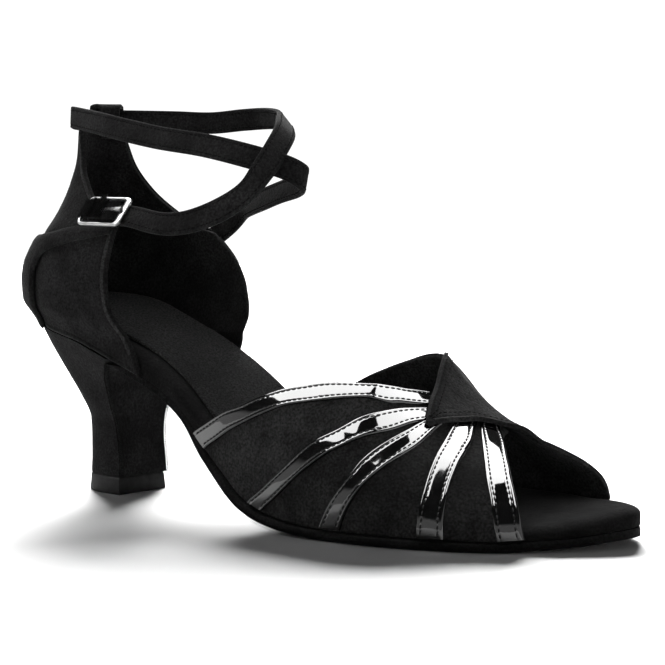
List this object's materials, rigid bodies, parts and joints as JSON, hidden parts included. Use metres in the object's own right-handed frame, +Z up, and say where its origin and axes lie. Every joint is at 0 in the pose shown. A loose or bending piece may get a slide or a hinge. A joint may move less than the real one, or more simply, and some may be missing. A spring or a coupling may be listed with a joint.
{
  "type": "ballroom dance sandal",
  "caption": "Open-toed ballroom dance sandal for the right foot: flared 60 mm heel, closed heel cup with a high back tab, crossover vamp with patent strips, crossed ankle strap with a buckle.",
  "frame": {"origin": "middle of the heel tip's underside, on the floor", "axes": "+X towards the toe, +Y towards the inner (medial) side of the foot, +Z up"},
  "size_m": [0.2537, 0.0825, 0.1471],
  "materials": {
    "suede": "matt black suede",
    "sole_suede": "raw black chrome suede",
    "patent": "gloss black patent",
    "felt": "matt dark grey felt",
    "tip": "satin black",
    "metal": "polished"
  },
  "bodies": {
    "root": {"outsole": "sole_suede", "insole_board": "suede", "insole_sock": "felt", "heel_block": "suede", "heel_tip": "tip", "quarter": "suede", "counter": "suede", "vamp_outer": "suede", "vamp_inner": "suede", "patent_strip_1": "patent", "patent_strip_2": "patent", "patent_strip_3": "patent", "patent_strip_4": "patent", "patent_strip_5": "patent", "ankle_strap": "suede", "strap_loop": "suede", "buckle_tab": "suede", "buckle_frame": "metal", "buckle_prong": "metal"}
  },
  "joints": []
}
